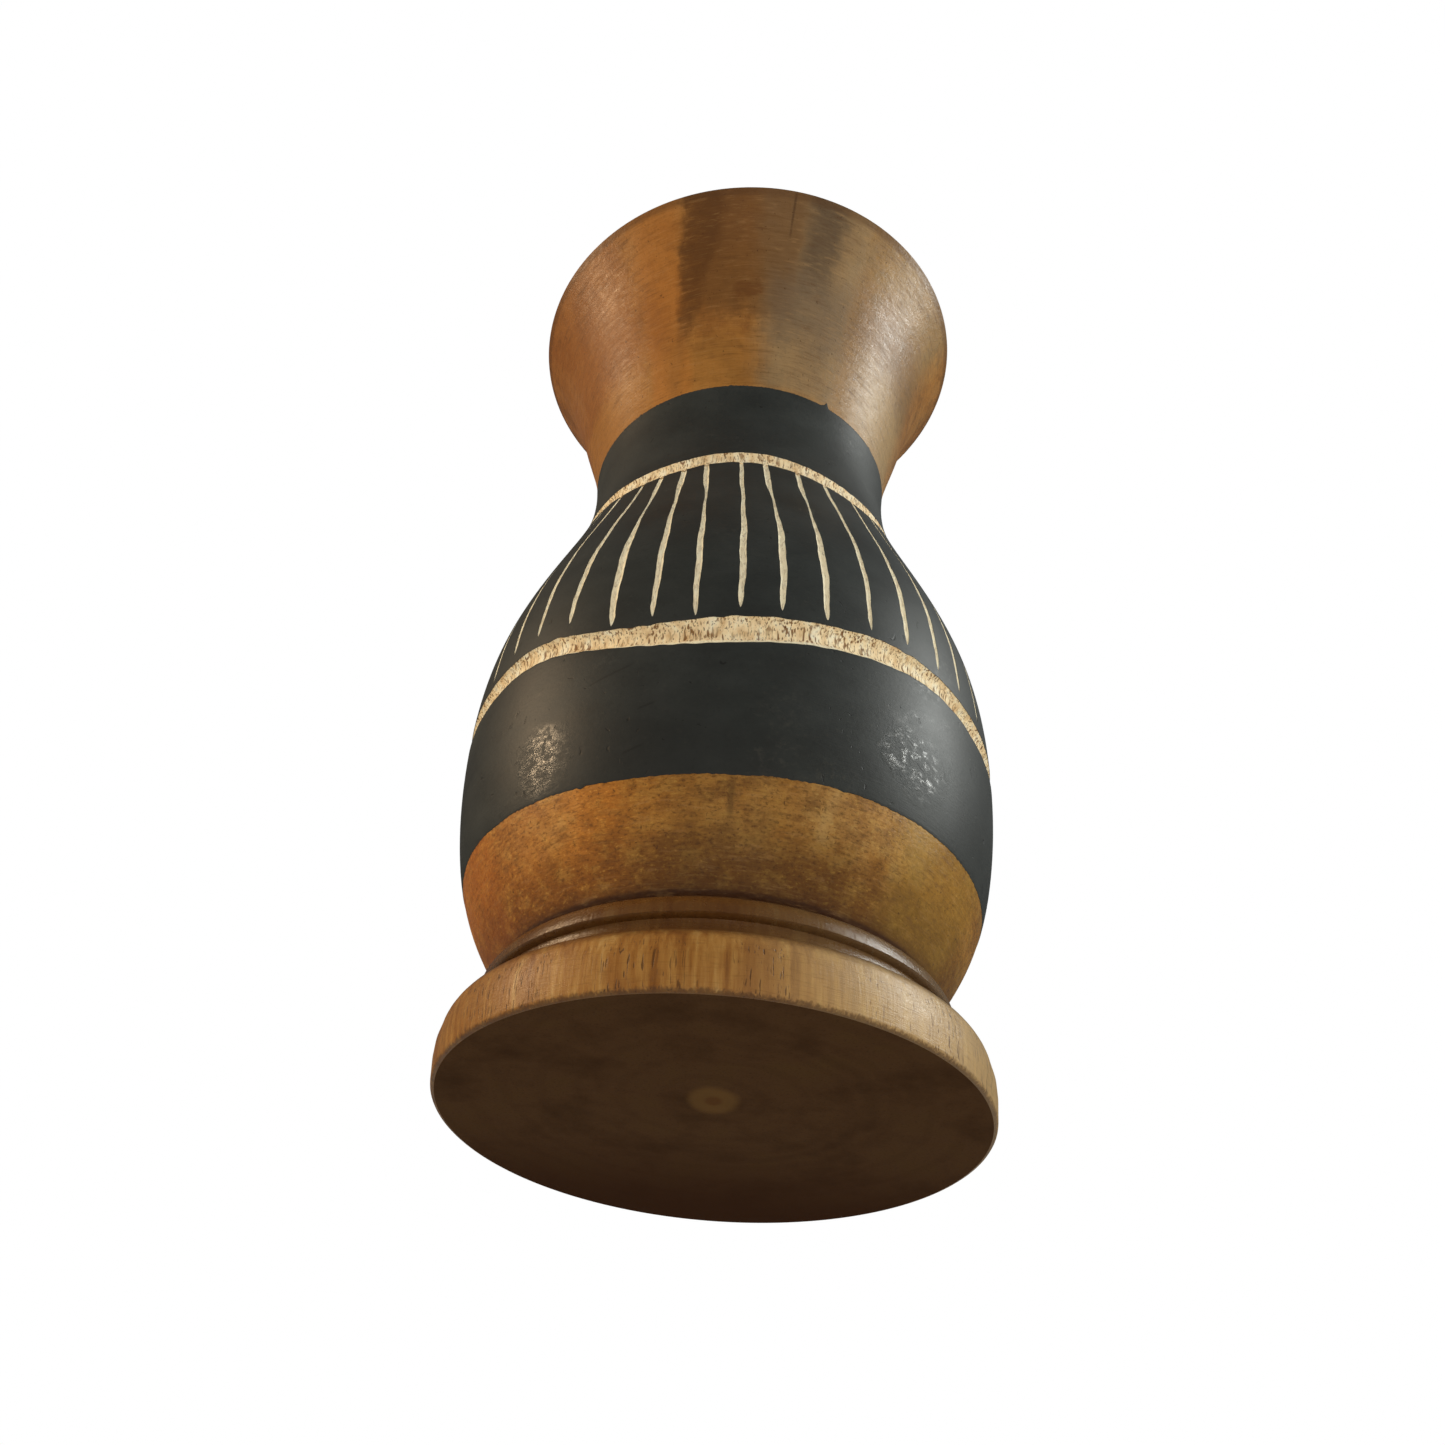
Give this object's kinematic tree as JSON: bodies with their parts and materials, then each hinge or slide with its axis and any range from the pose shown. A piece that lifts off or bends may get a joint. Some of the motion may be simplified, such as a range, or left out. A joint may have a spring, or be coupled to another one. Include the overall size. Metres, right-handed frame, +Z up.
{
  "type": "carved wooden vase",
  "caption": "Turned wooden vase with a flared mouth, a waisted neck and a round foot, with black painted bands parted by carved grooves and upright flutes.",
  "frame": {"origin": "centre of the foot's flat underside", "axes": "+Z up along the turning axis towards the mouth; -Y is the side that the picture shows, with one flute exactly at -Y"},
  "size_m": [0.1016, 0.1016, 0.2045],
  "materials": {
    "body_wood": "satin lacquered turned hardwood, golden brown with grey-brown streaks; raw cream wood in the carved grooves",
    "foot_wood": "glossier lacquered turned hardwood, dark stained end grain underneath",
    "black_paint": "thin satin black paint, rubbed in places"
  },
  "bodies": {
    "root": {"vase_body": "body_wood", "foot": "foot_wood", "belly_paint": "black_paint", "shoulder_paint": "black_paint", "neck_paint": "black_paint"}
  },
  "joints": []
}
